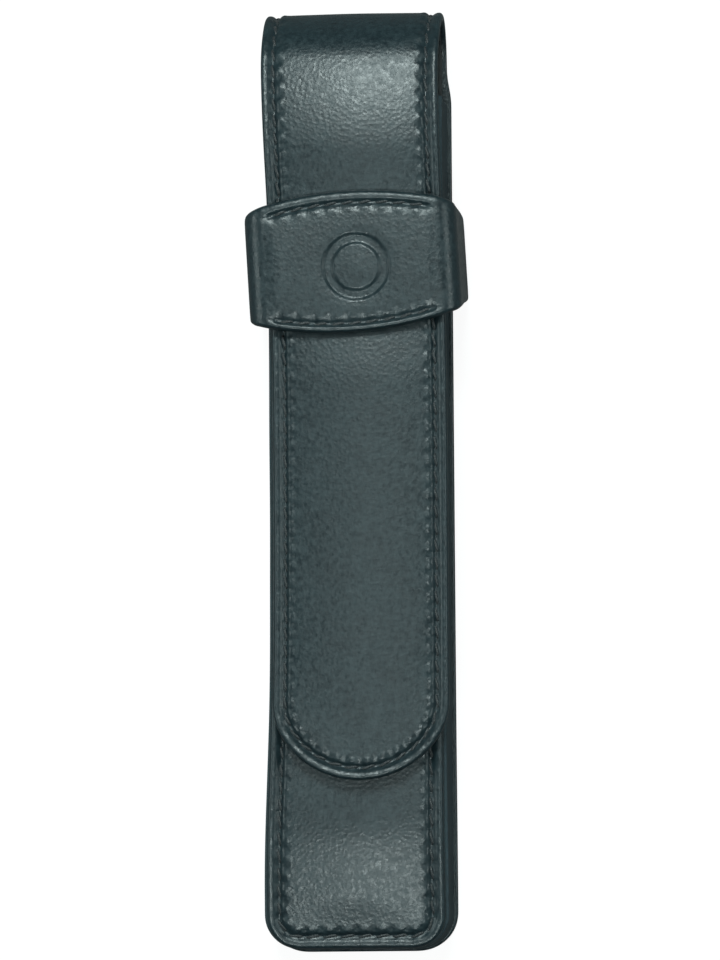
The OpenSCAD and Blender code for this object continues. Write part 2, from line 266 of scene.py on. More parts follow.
def sewRow(name, places, lay):  # places hold x, y, height and the turn of the seam in degrees
    rows = []
    for x, y, z, turn in places:
        copy = copyOf(oneStitch)
        turned = Matrix.Translation(Vector((x, y, z)) * mm) @ Euler(
            (0, 0, math.radians(turn + stitchOf["slant"]))).to_matrix().to_4x4()
        copy.data.transform(turned)
        rows.append(copy)
    bpy.ops.object.select_all(action="DESELECT")
    for copy in rows:
        copy.select_set(True)
    bpy.context.view_layer.objects.active = rows[0]
    bpy.ops.object.join()
    piece = bpy.context.object
    piece.name = piece.data.name = name
    mould(piece, lay)
    smooth(piece, 0)
    return piece


def bothSides(row, height):  # the right side's places and their mirror images
    return [(x, y, height, turn) for x, y, turn in row] + [(-x, y, height, 180 - turn) for x, y, turn in row]


def pastSeam(low):  # tells whether a place lies between the seam and the edge of its panel
    return lambda x, y, px, py: (x - px) * px + (y - py) * (py - max(py, low + 15)) > 0


def pullSeam(piece, places, above, isOuter, depth, swell):
    # the thread draws the leather in at its holes and lets it puff up between them
    tree = treeOf([(x, y, 0) for x, y, _, _ in places])
    p = puckerOf

    def pull(x, y, z):
        if z < above:
            return x, y, z
        _, i, far = tree.find((x, y, 0))
        if far > p["reach"]:
            return x, y, z
        px, py, _, turn = places[i]
        cos, sin = math.cos(math.radians(turn)), math.sin(math.radians(turn))
        along = (x - px) * cos + (y - py) * sin
        across = abs(-(x - px) * sin + (y - py) * cos)
        if abs(along) > p["along"]:
            return x, y, z
        wave = math.cos(2 * math.pi * along / stitchOf["pitch"])
        outer = isOuter(x, y, px, py)
        wide = p["outerWide"] if outer else p["innerWide"]
        puff = swell * (p["outerPuff"] if outer else 1.0)
        z -= depth * math.exp(-(across / wide) ** 2) * (0.5 - 0.5 * wave)
        z += puff * math.exp(-((across - p["puffAt"]) / p["puffWide"]) ** 2) * wave
        return x, y, z
    mould(piece, pull)


def walk(line, first, pitch):  # places along a line at a steady pitch, with the seam's turn
    places, left = [], first
    for (ax, ay), (bx, by) in zip(line, line[1:]):
        length = math.hypot(bx - ax, by - ay)
        turn = math.degrees(math.atan2(by - ay, bx - ax))
        while left <= length:
            share = left / length
            places.append((ax + (bx - ax) * share, ay + (by - ay) * share, turn))
            left += pitch
        left -= length
    return places


# Cutting a panel flat


def cutPanel(name, half, low, high, corners, step, profile, under, shares, fit=None,
             wall=(0.4, 0.85), rise=0.02):
    # a plane, its corners rounded, its edges cut fine, then raised and shaped ring by ring
    middle = (low + high) / 2
    piece = addPlane(name, half, low, high)
    for end, radius, segments in corners:
        pick("VERT", lambda p: abs(p.y - end) < 0.01 and abs(abs(p.x) - half) < 0.01)
        bpy.ops.mesh.bevel(offset=radius * mm, segments=segments, affect="VERTICES")
    bpy.ops.mesh.select_all(action="SELECT")
    bpy.ops.mesh.remove_doubles(threshold=0.05 * mm)
    bpy.ops.mesh.select_all(action="SELECT")
    bpy.ops.mesh.delete(type="ONLY_FACE")
    cutFine(step)
    bpy.ops.mesh.select_all(action="SELECT")
    bpy.ops.mesh.edge_face_add()
    closeEdit()
    if fit:
        mould(piece, fit)
    openEdit(piece)
    bpy.ops.mesh.select_all(action="SELECT")
    bpy.ops.mesh.normals_make_consistent(inside=False)
    mesh = bmesh.from_edit_mesh(piece.data)
    mesh.faces.ensure_lookup_table()
    if mesh.faces[0].normal.z < 0:
        bpy.ops.mesh.flip_normals()
    bpy.ops.transform.translate(value=(0, 0, wall[0] * mm))
    bpy.ops.mesh.extrude_region()
    bpy.ops.transform.translate(value=(0, 0, (wall[1] - wall[0]) * mm))
    bpy.ops.mesh.select_all(action="SELECT")
    bpy.ops.mesh.normals_make_consistent(inside=False)
    pickFlat(1)
    ringsIn(profile, (0, wall[1]))
    closeMiddle(shares, middle, rise, 1)
    pickFlat(-1)
    ringsIn([(inward, -high) for inward, high in under], (0, -wall[0]))
    closeMiddle(shares, middle, 0, -1)
    bpy.ops.mesh.select_all(action="SELECT")
    bpy.ops.mesh.normals_make_consistent(inside=False)
    closeEdit()
    return piece


# The leather's section from its turned edge inwards: ridge, stitch groove, padded middle.
def seamRings(seam):
    section = [(0.04, 1.0), (0.12, 1.18), (0.24, 1.34), (0.38, 1.46), (0.56, 1.52), (0.8, 1.48), (1.05, 1.42),
               (1.25, 1.32), (1.46, 1.16), (1.7, 1.0), (2.0, 0.9), (2.2, 0.98), (2.36, 1.15),
               (2.54, 1.35), (2.82, 1.46), (3.3, 1.52), (3.9, 1.55), (4.5, 1.57)]
    return [(d * seam / 2 if d < 2 else d + seam - 2, h) for d, h in section]


leatherUnder = [(0.08, 0.2), (0.3, 0.05), (0.7, 0.0), (2.5, 0.0), (4.7, 0.0)]
liningRings = [(0.1, 0.48), (0.4, 0.5), (2, 0.5), (3.6, 0.5)]
liningUnder = [(0.1, 0.02), (0.4, 0.0), (2, 0.0), (3.6, 0.0)]
leatherShares = [(share, 0.99) for share in (0.86, 0.72, 0.58, 0.44, 0.3, 0.15)]  # columns of the middle
liningIn, liningThick = 0.8, 0.5  # how far the lining stays inside the leather's edge, and its thickness
hair = 0.01                       # keeps two round corners from meeting in one point


def cutLining(name, half, low, high, corners, step):
    piece = cutPanel(name, half, low, high, corners, step, liningRings, liningUnder, [(0.6, 0.99)],
                     wall=(0.12, 0.38), rise=0)
    smooth(piece, 1)
    return piece


# The long cut of outer leather

longCut = {
    "tailTip": -53.2, "shoulderY": -39.6, "shoulderX": 4.75, "shoulderR": 11.0,
    "endR": 16.64, "endTurn": 57.4, "flapHalf": 15.75, "backHalf": 16.5,
    "mouthY": 67.0, "backLow": -82.5, "cornerR": 6.6, "seam": 2.2, "step": 1.0, "thick": 1.4,
    "dome": 0.62, "domeHalf": 13.0, "underBand": 0.25,  # the padding lifts the flap's middle
    "padTip": (2.5, 24), "padFold": (-2, 14),    # where it starts from the tip and ends at the fold
    "heldAt": 37.5, "heldReach": 15, "pressed": 0.3, "pressAt": 37.2, "pressReach": (10.5, 22),  # by the band
    "evenOut": 12, "flat": (8, 4),               # the sides below the round end; where the back turns flat
}
crownEnd = lie["crownY"] + math.pi * lie["crownR"]      # where the fold reaches the back, laid flat
flatEnd = crownEnd + lie["crownY"] - longCut["backLow"]


def tailPoint(share):  # along the round end, from the tip to where the side runs straight
    c = longCut
    endArc = c["endR"] * math.radians(c["endTurn"])
    sideArc = c["shoulderR"] * math.radians(90 - c["endTurn"])
    s = share * (endArc + sideArc)
    if s <= endArc:
        a = s / c["endR"]
        return c["endR"] * math.sin(a), c["tailTip"] + c["endR"] * (1 - math.cos(a))
    a = math.radians(c["endTurn"]) + (s - endArc) / c["shoulderR"]
    return (c["shoulderX"] + c["shoulderR"] * math.sin(a), c["shoulderY"] - c["shoulderR"] * math.cos(a))


def fitLongCut(x, t, h):
    c = longCut
    half = c["flapHalf"]
    radius = half - hair
    x = 0.0 if abs(x) < 0.05 else x
    if t < c["tailTip"] + radius - 0.001:  # the round end
        share = math.atan2(abs(x), c["tailTip"] + radius - t) / (math.pi / 2)
        px, py = tailPoint(share)
        return math.copysign(px, x), py, h
    if t < c["tailTip"] + radius + c["evenOut"]:  # straight sides start a little lower than the round end did
        low = c["tailTip"] + radius
        t = c["shoulderY"] + (t - low) * (low + c["evenOut"] - c["shoulderY"]) / c["evenOut"]
    wide = ease(crownEnd, crownEnd + lie["crownY"] - c["mouthY"], t)
    return x * (1 + (c["backHalf"] / half - 1) * wide), t, h


def halfEdge(inset):  # the edge of the long cut on its right side, drawn in by an inset
    c = longCut
    line = []
    for i in range(41):
        a = math.radians(c["endTurn"]) * i / 40
        line.append(((c["endR"] - inset) * math.sin(a),
                     c["tailTip"] + c["endR"] - (c["endR"] - inset) * math.cos(a)))
    for i in range(1, 21):
        a = math.radians(c["endTurn"] + (90 - c["endTurn"]) * i / 20)
        line.append((c["shoulderX"] + (c["shoulderR"] - inset) * math.sin(a),
                     c["shoulderY"] - (c["shoulderR"] - inset) * math.cos(a)))
    line.append((c["flapHalf"] - inset, crownEnd))
    line.append((c["backHalf"] - inset, crownEnd + lie["crownY"] - c["mouthY"]))
    r = c["cornerR"] - inset
    for i in range(21):
        a = math.radians(90 * i / 20)
        line.append((c["backHalf"] - inset - r + r * math.cos(a), flatEnd - inset - r + r * math.sin(a)))
    line.append((0, flatEnd - inset))
    return line


def foldUp(inner):  # lays the flat cut round the sleeve; inner is the gap to the outside of the fold
    def lay(x, t, h):
        if t < lie["curlFrom"]:
            h += lie["curl"] * ((lie["curlFrom"] - t) / (lie["curlFrom"] - longCut["tailTip"])) ** 2
        r = lie["crownR"] - inner + h
        if t <= lie["crownY"]:
            y, z = t, lie["crownR"] + r
        elif t <= crownEnd:
            a = (t - lie["crownY"]) / lie["crownR"]
            y, z = lie["crownY"] + r * math.sin(a), lie["crownR"] + r * math.cos(a)
        else:
            y, z = lie["crownY"] - (t - crownEnd), lie["crownR"] - r
        return settle(*leanFlap(x, y, z))
    return lay


def flattenBack(x, t, h):  # the back lies flat on the table, without the swell of the flap
    flat = ease(lie["crownY"] + longCut["flat"][0], crownEnd + longCut["flat"][1], t)
    return x, t, h - flat * max(0.0, h - longCut["thick"])


def swellOf(x, reach):  # 1 in the middle of a padded panel, 0 at the reach on both sides
    return max(0.0, 1 - (x / reach) ** 2)


def padFlap(x, t, h):  # the padding rounds the flap, and the band presses it flat and down on both sides
    if h < 0.5:
        return x, t, h
    c = longCut
    padded = ease(*c["padTip"], t - c["tailTip"]) * (1 - ease(*c["padFold"], t - lie["crownY"]))
    held = math.exp(-((t - c["heldAt"]) / c["heldReach"]) ** 4)
    high = c["dome"] + (c["underBand"] - c["dome"]) * held
    press = c["pressed"] * (1 - ease(*c["pressReach"], abs(t - c["pressAt"])))
    return x, t, h - press + swellOf(x, c["domeHalf"]) * padded * high


tailFrom = 38.0  # the tail's own length starts here, under the band
beyond = 400     # further out than both ends of the cut
crownTurn = [math.radians(a) * lie["crownR"] for a in (45, 90, 135)]
pieceEnds = [-beyond, tailFrom] + [lie["crownY"] + s for s in crownTurn] + [beyond]
pieceNames = ["tail", "flap", "crownFront", "crownTop", "back"]  # from the tail over the fold to the back


def normalsOf(piece):
    vertices = piece.data.vertices
    return treeOf([v.co.copy() for v in vertices]), [v.normal.copy() for v in vertices]


def splitCut(whole, kind, inner):
    # the one long cut in five lengths, one for each fold that it bends at, with its shading kept
    flats = []
    for i, part in enumerate(pieceNames):
        copy = copyOf(whole)
        copy.name = copy.data.name = part + kind
        openEdit(copy)
        for place, keepBelow in ((pieceEnds[i], False), (pieceEnds[i + 1], True)):
            if longCut["tailTip"] < place < flatEnd:
                bpy.ops.mesh.select_all(action="SELECT")
                bpy.ops.mesh.bisect(plane_co=(0, place * mm, 0), plane_no=(0, 1, 0), use_fill=True,
                                    clear_outer=keepBelow, clear_inner=not keepBelow)
        closeEdit()
        flats.append(copy)
    mould(whole, foldUp(inner))
    tree, normals = normalsOf(whole)
    for copy in flats:
        mould(copy, foldUp(inner))
        found = []
        for vert in copy.data.vertices:
            near = tree.find_n(vert.co, 3)
            total = Vector()
            for _, index, far in near:
                total += normals[index] / (far + 1e-7)
            found.append(total.normalized())
        smooth(copy, 0)
        copy.data.normals_split_custom_set_from_vertices(found)
    bpy.data.objects.remove(whole)
    return dict(zip(pieceNames, flats))


threadZ = 1.0  # the middle of a stitch above the underside of the leather, down in its groove
seamLine = halfEdge(longCut["seam"])
rightRow = walk(seamLine, stitchOf["pitch"] / 2, stitchOf["pitch"])
longSeam = bothSides(rightRow, threadZ)

leather = cutPanel(
    "longLeather", longCut["flapHalf"], longCut["tailTip"], flatEnd,
    [(longCut["tailTip"], longCut["flapHalf"] - hair, 26), (flatEnd, longCut["cornerR"], 10)],
    longCut["step"], seamRings(longCut["seam"]), leatherUnder, leatherShares, fit=fitLongCut)
smooth(leather, 1)
mould(leather, padFlap)
pullSeam(leather, longSeam, 0.5, pastSeam(longCut["tailTip"]), 0.24, 0.16)
mould(leather, flattenBack)
leatherParts = splitCut(leather, "Leather", longCut["thick"])
print("outer leather cut, folded and parted:", [len(p.data.polygons) for p in leatherParts.values()])

liningHalf = longCut["flapHalf"] - liningIn
liningTip, liningEnd = longCut["tailTip"] + liningIn, flatEnd - liningIn
lining = cutLining(
    "longLining", liningHalf, liningTip, liningEnd,
    [(liningTip, liningHalf - hair, 26), (liningEnd, longCut["cornerR"] - liningIn, 10)], 2.0)
liningParts = splitCut(lining, "Lining", longCut["thick"] + liningThick)
print("lining cut, folded and parted")

threadParts = {}
for i, part in enumerate(pieceNames):
    places = [p for p in longSeam if pieceEnds[i] < p[1] <= pieceEnds[i + 1]]
    threadParts[part] = sewRow(part + "Thread", places, foldUp(longCut["thick"]))
print("flap and back sewn")


# Front panel and its lining

front = {"half": 15.35, "low": -82.2, "high": 67.0, "cornerR": 5.6, "mouthR": 6.4, "seam": 2.2, "z": 14.8,
         "dome": 0.35, "domeHalf": 12.5, "mouthGap": 1.2, "mouthStitches": 7}


def frontSeam():
    inset, r = front["seam"], front["cornerR"] - front["seam"]
    wide, low = front["half"] - inset, front["low"] + inset
    line = [(0, low), (wide - r, low)]
    for i in range(1, 17):
        a = math.radians(90 * i / 16)
        line.append((wide - r + r * math.sin(a), low + r - r * math.cos(a)))
    line.append((wide, front["high"] - inset - front["mouthGap"]))
    pitch, count = stitchOf["pitch"], front["mouthStitches"]
    mouth = [((i - count // 2) * pitch, front["high"] - inset, threadZ, 0) for i in range(count)]
    return bothSides(walk(line, pitch / 2, pitch), threadZ), mouth


def squareMouth(half, high, r):  # draws the two rounded corners at the mouth out to square ones
    def draw(x, y, h):
        dx, dy = abs(x) - (half - r), y - (high - r)
        if dx <= 0 or dy <= 0:
            return x, y, h
        far = math.hypot(dx, dy)
        out = 1 + (far / max(dx, dy) - 1) * min(1.0, far / r) ** 3
        return math.copysign(half - r + dx * out, x), high - r + dy * out, h
    return draw


def seatFront(height):
    def seat(x, y, h):
        return settle(x, y, height + h)
    return seat


def padFront(x, y, h):  # the open end below the tail is a little rounded too
    below = 1 - ease(-64, -54, y)
    low = ease(front["low"] + 3, front["low"] + 9, y)
    return x, y, h + (swellOf(x, front["domeHalf"]) * front["dome"] * below * low if h > 0.5 else 0)


sideSeam, mouthSeam = frontSeam()
frontLeather = cutPanel(
    "frontLeather", front["half"], front["low"], front["high"],
    [(front["low"], front["cornerR"], 10), (front["high"], front["mouthR"], 8)], 1.0,
    seamRings(front["seam"]), leatherUnder, leatherShares)
smooth(frontLeather, 1)
mould(frontLeather, squareMouth(front["half"], front["high"], front["mouthR"]))
mould(frontLeather, padFront)
pullSeam(frontLeather, sideSeam + mouthSeam, 0.5, pastSeam(front["low"]), 0.24, 0.16)
mould(frontLeather, seatFront(front["z"]))
liningHalf = front["half"] - liningIn
liningLow, liningHigh = front["low"] + liningIn, front["high"] - liningIn
frontLining = cutLining(
    "frontLining", liningHalf, liningLow, liningHigh,
    [(liningLow, front["cornerR"] - liningIn, 8), (liningHigh, front["mouthR"], 8)], 3.0)
mould(frontLining, squareMouth(liningHalf, liningHigh, front["mouthR"]))
mould(frontLining, seatFront(front["z"] - liningThick))
frontThread = sewRow("frontSeamThread", sideSeam, seatFront(front["z"]))
mouthThread = sewRow("mouthHemThread", mouthSeam, seatFront(front["z"]))
print("front panel made")


# Boards and padding inside the hems

boardRings = [(0.1, 0.55), (0.4, 0.6), (1.6, 0.6)]
boardUnder = [(0.1, 0.03), (0.4, 0.0), (1.6, 0.0)]
boardOf = {  # half the width, the lower and upper end, and the radius of the lower corners
    "frontBoard": (10.2, -76.2, 61.7, 2.2),
    "flapFelt": (10.4, 22.95, 68.05, 0),
    "tailFelt": (10.4, -47.3, 22.85, 9.0),
}


def cutBoard(name, lay):
    half, low, high, radius = boardOf[name]
    corners = [(low, radius, 8)] if radius else []
    piece = cutPanel(name, half, low, high, corners, 3.0, boardRings, boardUnder,
                     [(0.5, 0.99)], wall=(0.12, 0.46), rise=0)
    smooth(piece, 1)
    mould(piece, lay)
    return piece


frontBoard = cutBoard("frontBoard", seatFront(front["z"]))
flapFelt = cutBoard("flapFelt", foldUp(longCut["thick"]))
tailFelt = cutBoard("tailFelt", foldUp(longCut["thick"]))


# Gusset

gussetOf = {"half": 16.0, "low": -82.3, "high": 67.0, "cornerR": 6.1, "z": 1.9, "tall": 12.4,
            "wall": 0.8, "flange": 4.9, "turnIn": 0.6, "sink": 0.45, "uneven": 0.25, "sides": 15.2,
            "round": (8, 3), "extra": 12}  # where the bottom end turns; what is cut off past the mouth


def makeGusset():
    g = gussetOf
    piece = addPlane("gussetLeather", g["half"], g["low"], g["high"] + g["extra"])
    pick("VERT", lambda p: abs(p.y - g["low"]) < 0.01)
    bpy.ops.mesh.bevel(offset=g["cornerR"] * mm, segments=10, affect="VERTICES")
    bpy.ops.mesh.select_all(action="SELECT")
    bpy.ops.mesh.delete(type="ONLY_FACE")
    cutFine(1.5)
    bpy.ops.mesh.select_all(action="SELECT")
    bpy.ops.mesh.edge_face_add()
    bpy.ops.mesh.extrude_region()
    bpy.ops.transform.translate(value=(0, 0, (g["tall"] - 2 * g["turnIn"]) * mm))
    bpy.ops.mesh.select_all(action="SELECT")
    bpy.ops.transform.translate(value=(0, 0, g["turnIn"] * mm))
    bpy.ops.mesh.normals_make_consistent(inside=False)
    for cut in (1.6, 3.2, 6.2, 9.2, 10.8):
        bpy.ops.mesh.select_all(action="SELECT")
        bpy.ops.mesh.bisect(plane_co=(0, 0, cut * mm), plane_no=(0, 0, 1))
    for side in (1, -1):
        pickFlat(side)
        ringsIn([(0.15, 0.3), (0.55, 0.55), (1.1, g["turnIn"]), (3.0, g["turnIn"]),
                 (g["flange"], g["turnIn"])], (0, 0))
        bpy.ops.mesh.delete(type="ONLY_FACE")
    bpy.ops.mesh.select_all(action="SELECT")
    bpy.ops.mesh.bisect(plane_co=(0, g["high"] * mm, 0), plane_no=(0, 1, 0), clear_outer=True)
    closeEdit()

    def sag(x, y, z):  # the wall sinks a little between its two seams, unevenly
        share = max(0.0, 1 - (z / (g["tall"] / 2) - 1) ** 2)
        depth = g["sink"] * share * (1 + g["uneven"] * math.sin(y * 0.23 + (1 if x > 0 else 3)))
        atEnd = ease(*g["round"], y - g["low"])
        if abs(x) > g["sides"]:
            x -= math.copysign(depth, x) * (1 - atEnd)
        if y < g["low"] + g["round"][0]:
            y += depth * atEnd
        return x, y, z
    mould(piece, sag)
    addWall(piece, g["wall"])
    smooth(piece, 1)
    mould(piece, lambda x, y, z: settle(x, y, z + g["z"]))
    return piece


gusset = makeGusset()
print("gusset made", len(gusset.data.polygons))


# Band

bandOf = {
    "y": 37.15, "tall": 24.9, "sideTall": 19.4, "tuckTall": 16.0, "turn": 3.1, "rise": 1.5,
    "half": 18.6, "top": 20.5, "bendR": 3.6, "low": 1.4, "lean": 0.35, "spread": 0.45,
    "wall": 0.95, "sunk": 1.1, "liningWall": 0.45, "liningSunk": 1.15, "liningShort": 0.4,
    "seam": 2.1, "seamReach": 13.5, "threadLift": -0.28, "lowNear": 0.5, "plain": (13.0, 15.5),
    "ringR": 5.7, "ringW": 1.5, "ringDepth": 0.42, "ringX": 0.8, "ringY": -1.0,
    "ringDip": 0.08, "ringDome": 0.10, "ringSoft": (0.15, 0.3),  # the soft edges of the pressed ring
}
# Rows from the band's edge to its middle: how far in, how high where it is sewn, how high on its sides.
bandRows = [0, 0.2, 0.5, 0.85, 1.15, 1.4, 1.65, 1.9, 2.15, 2.4,
            2.8, 3.4, 4.2, 5.2, 6.3, 7.4, 8.5, 9.6, 10.8, 12.1]
bandRise = [0.3, 0.86, 1.12, 1.2, 1.22, 1.2, 1.08, 0.84, 0.7, 0.8,
            1.06, 1.2, 1.25, 1.28, 1.31, 1.33, 1.35, 1.36, 1.36, 1.36]
bandPlain = [0.42, 0.72, 0.92, 1.02, 1.06, 1.07, 1.08, 1.08, 1.08, 1.09] + [1.1] * 10


bandFlat = bandOf["half"] - bandOf["bendR"]    # along the arch: flat, bent, then down the side
bandBend = bandOf["bendR"] * math.pi / 2
bandReach = bandFlat + bandBend + bandOf["top"] - bandOf["bendR"] - bandOf["low"]
bandBow = bandOf["tall"] - bandOf["sideTall"]
bandEdgeR = (bandOf["half"] ** 2 + (bandBow / 2) ** 2) / bandBow


def archPoint(u, lift):  # along the arch across the sleeve; u is the way from its middle
    b = bandOf
    a = abs(u)
    if a <= bandFlat:
        x, z = a, b["top"] + lift
    elif a <= bandFlat + bandBend:
        t = (a - bandFlat) / b["bendR"]
        r = b["bendR"] + lift
        x, z = bandFlat + r * math.sin(t), b["top"] - b["bendR"] + r * math.cos(t)
    else:
        x, z = b["half"] + lift, b["top"] - b["bendR"] - (a - bandFlat - bandBend)
    return math.copysign(x, u), z


def halfTall(u):  # half the band's height at a place along the arch
    x = min(abs(archPoint(u, 0)[0]), bandOf["half"])
    onFront = math.sqrt(bandEdgeR ** 2 - x * x) - (bandEdgeR - bandOf["tall"] / 2)
    down = max(0.0, abs(u) - bandOf["half"]) / (bandReach - bandOf["half"])
    return onFront - (bandOf["sideTall"] - bandOf["tuckTall"]) / 2 * down


def bandSeam(edge):
    line = []
    reach = bandOf["seamReach"]
    inset = bandOf["seam"] - (bandOf["lowNear"] if edge < 0 else 0)
    for i in range(61):
        x = -reach + 2 * reach * i / 60
        line.append((x, edge * (halfTall(x) - inset)))
    length = sum(math.hypot(b[0] - a[0], b[1] - a[1]) for a, b in zip(line, line[1:]))
    count = int(length / stitchOf["pitch"])
    return walk(line, (length - (count - 1) * stitchOf["pitch"]) / 2, stitchOf["pitch"])


def makeBandPiece(name, rows, lifts, plain, columns, reach, sunk, levels):
    bpy.ops.object.select_all(action="DESELECT")
    across = 2 * (len(rows) - 1)
    bpy.ops.mesh.primitive_grid_add(x_subdivisions=columns, y_subdivisions=across, size=2)
    piece = bpy.context.object
    piece.name = piece.data.name = name
    narrow = rows[-1]
    for vert in piece.data.vertices:  # grid places become way along the arch and way down from the edge
        u = vert.co.x * reach
        row = round((vert.co.y + 1) * across / 2)
        index = min(row, across - row)
        fromEdge = rows[index]
        side = 1 if row > across / 2 else -1
        tall = halfTall(u)
        if side < 0:  # the lower ridge is narrower
            fromEdge -= bandOf["lowNear"] * ease(0, 1.5, fromEdge) * (1 - ease(2.6, 6, fromEdge))
        if fromEdge > 3:
            fromEdge = 3 + (fromEdge - 3) * (tall - 3) / (narrow - 3)
        plainness = ease(*bandOf["plain"], abs(u))
        lift = lifts[index] * (1 - plainness) + plain[index] * plainness
        vert.co = Vector((u, side * (tall - fromEdge), lift - sunk)) * mm
    piece.data.update()
    smooth(piece, levels)
    return piece


def bandSettle(x, y, z):  # its lower edge runs more askew than its upper one
    turn = math.radians(bandOf["turn"])
    y -= x * math.tan(math.radians(bandOf["spread"])) * y / (bandOf["tall"] / 2)
    x, y = x * math.cos(turn) - y * math.sin(turn), x * math.sin(turn) + y * math.cos(turn)
    y += bandOf["rise"] * ease(1, 0, z / bandOf["top"])  # its ends climb a little round the sides
    x, y, z = settle(x, y + bandOf["y"], z, 0)
    return x + bandOf["lean"], y, z


def archUp(u, v, lift):
    x, z = archPoint(u, lift)
    return bandSettle(x, v, z)


def ringPress(u, v, lift):  # the round place is left plain: one pressed ring round a low dome
    r = math.hypot(u - bandOf["ringX"], v - bandOf["ringY"])
    inner, outer = bandOf["ringR"] - bandOf["ringW"], bandOf["ringR"]
    near, far = bandOf["ringSoft"]
    press = ease(inner - far, inner + near, r) * (1 - ease(outer - near, outer + far, r))
    lift -= bandOf["ringDepth"] * press
    lift -= bandOf["ringDip"] * (1 - ease(outer, outer + 2.0, r))
    lift += bandOf["ringDome"] * (1 - ease(0, inner - far, r))
    return u, v, lift


bandPlaces = {"bandUpper": bandSeam(1), "bandLower": bandSeam(-1)}
band = makeBandPiece("bandLeather", bandRows, bandRise, bandPlain, 84, bandReach, bandOf["sunk"], 2)
mould(band, ringPress)
pullSeam(band, [(x, y, 0, turn) for row in bandPlaces.values() for x, y, turn in row], -9,
         lambda x, y, px, py: abs(y) > abs(py), 0.1, 0.07)
addWall(band, bandOf["wall"])
mould(band, archUp)
smooth(band, 0)
bandThreads = {}
for name, row in bandPlaces.items():
    places = [(x, y, bandOf["threadLift"], turn) for x, y, turn in row]
    bandThreads[name] = sewRow(name + "Thread", places, archUp)
liningRow = [0.9, 1.2, 2.5, 5, 8, 12.1]
bandLining = makeBandPiece("bandLiningInside", liningRow, [0.0] * 6, [0.0] * 6, 60,
                           bandReach - bandOf["liningShort"], bandOf["liningSunk"], 1)
addWall(bandLining, bandOf["liningWall"])
mould(bandLining, archUp)
smooth(bandLining, 0)
bpy.data.objects.remove(oneStitch)
print("band made", len(band.data.polygons))


# Materials


def node(tree, kind, settings=None, links=None):
    made = tree.nodes.new(kind)
    for key, value in (settings or {}).items():
        if isinstance(key, str) and hasattr(made, key):
            setattr(made, key, value)
        else:
            made.inputs[key].default_value = value
    for key, source in (links or {}).items():
        tree.links.new(source, made.inputs[key])
    return made


def newMaterial(name):
    material = bpy.data.materials.new(name)
    material.use_nodes = True
    tree = material.node_tree
    tree.nodes.clear()
    return material, tree


def placeInMm(tree, scale=(1000, 1000, 1000), turn=0.0):  # the piece's own coordinates, in mm
    place = node(tree, "ShaderNodeTexCoord")
    return node(tree, "ShaderNodeMapping", {"vector_type": "POINT", "Scale": scale, "Rotation": (0, 0, turn)},
                {"Vector": place.outputs["Object"]})


def ramp(tree, source, stops):
    made = node(tree, "ShaderNodeValToRGB", links={0: source})
    elements = made.color_ramp.elements
    while len(elements) < len(stops):
        elements.new(0.5)
    for element, (place, colour) in zip(elements, stops):
        element.position = place
        element.color = hexColour(colour) if isinstance(colour, str) else (colour, colour, colour, 1)
    return made


def leatherMaterial(name, dark, mid, light, grain, gloss, depth=1.0):
    # aniline-dyed calf, plated and waxed: fine flat grain, a soft gloss, slight clouding in the dye
    material, tree = newMaterial(name)
    inMm = placeInMm(tree)
    cloud = node(tree, "ShaderNodeTexNoise", {"Scale": 0.16, "Detail": 3.0, "Roughness": 0.55},
                 {"Vector": inMm.outputs[0]})                                     # clouds of about 6 mm
    speck = node(tree, "ShaderNodeTexNoise", {"Scale": 1.1, "Detail": 2.0, "Roughness": 0.6},
                 {"Vector": inMm.outputs[0]})                                     # specks of about 0.9 mm
    cells = node(tree, "ShaderNodeTexVoronoi", {"feature": "SMOOTH_F1", "Scale": grain, "Smoothness": 0.35},
                 {"Vector": inMm.outputs[0]})                                     # grain cells
    fine = node(tree, "ShaderNodeTexNoise", {"Scale": 3.2, "Detail": 2.0, "Roughness": 0.5},
                {"Vector": inMm.outputs[0]})                                      # pores of about 0.3 mm
    tone = node(tree, "ShaderNodeMath", {"operation": "MULTIPLY_ADD", 1: 0.55},
                {0: cloud.outputs["Fac"], 2: speck.outputs["Fac"]})
    colour = ramp(tree, tone.outputs[0], [(0.55, dark), (0.78, mid), (1.0, light)])
    rough = node(tree, "ShaderNodeMapRange", {"From Min": 0.3, "From Max": 0.7, "To Min": gloss - 0.07,
                                              "To Max": gloss + 0.09}, {"Value": speck.outputs["Fac"]})
    high = node(tree, "ShaderNodeMath", {"operation": "MULTIPLY_ADD", 1: 0.5},
                {0: fine.outputs["Fac"], 2: cells.outputs["Distance"]})
    bump = node(tree, "ShaderNodeBump", {"Strength": 1.0, "Distance": 0.038 * mm * depth},
                {"Height": high.outputs[0]})
    shader = node(tree, "ShaderNodeBsdfPrincipled",
                  {"IOR": 1.45},
                  {"Base Color": colour.outputs["Color"], "Roughness": rough.outputs[0],
                   "Normal": bump.outputs["Normal"]})
    node(tree, "ShaderNodeOutputMaterial", links={0: shader.outputs[0]})
    return material


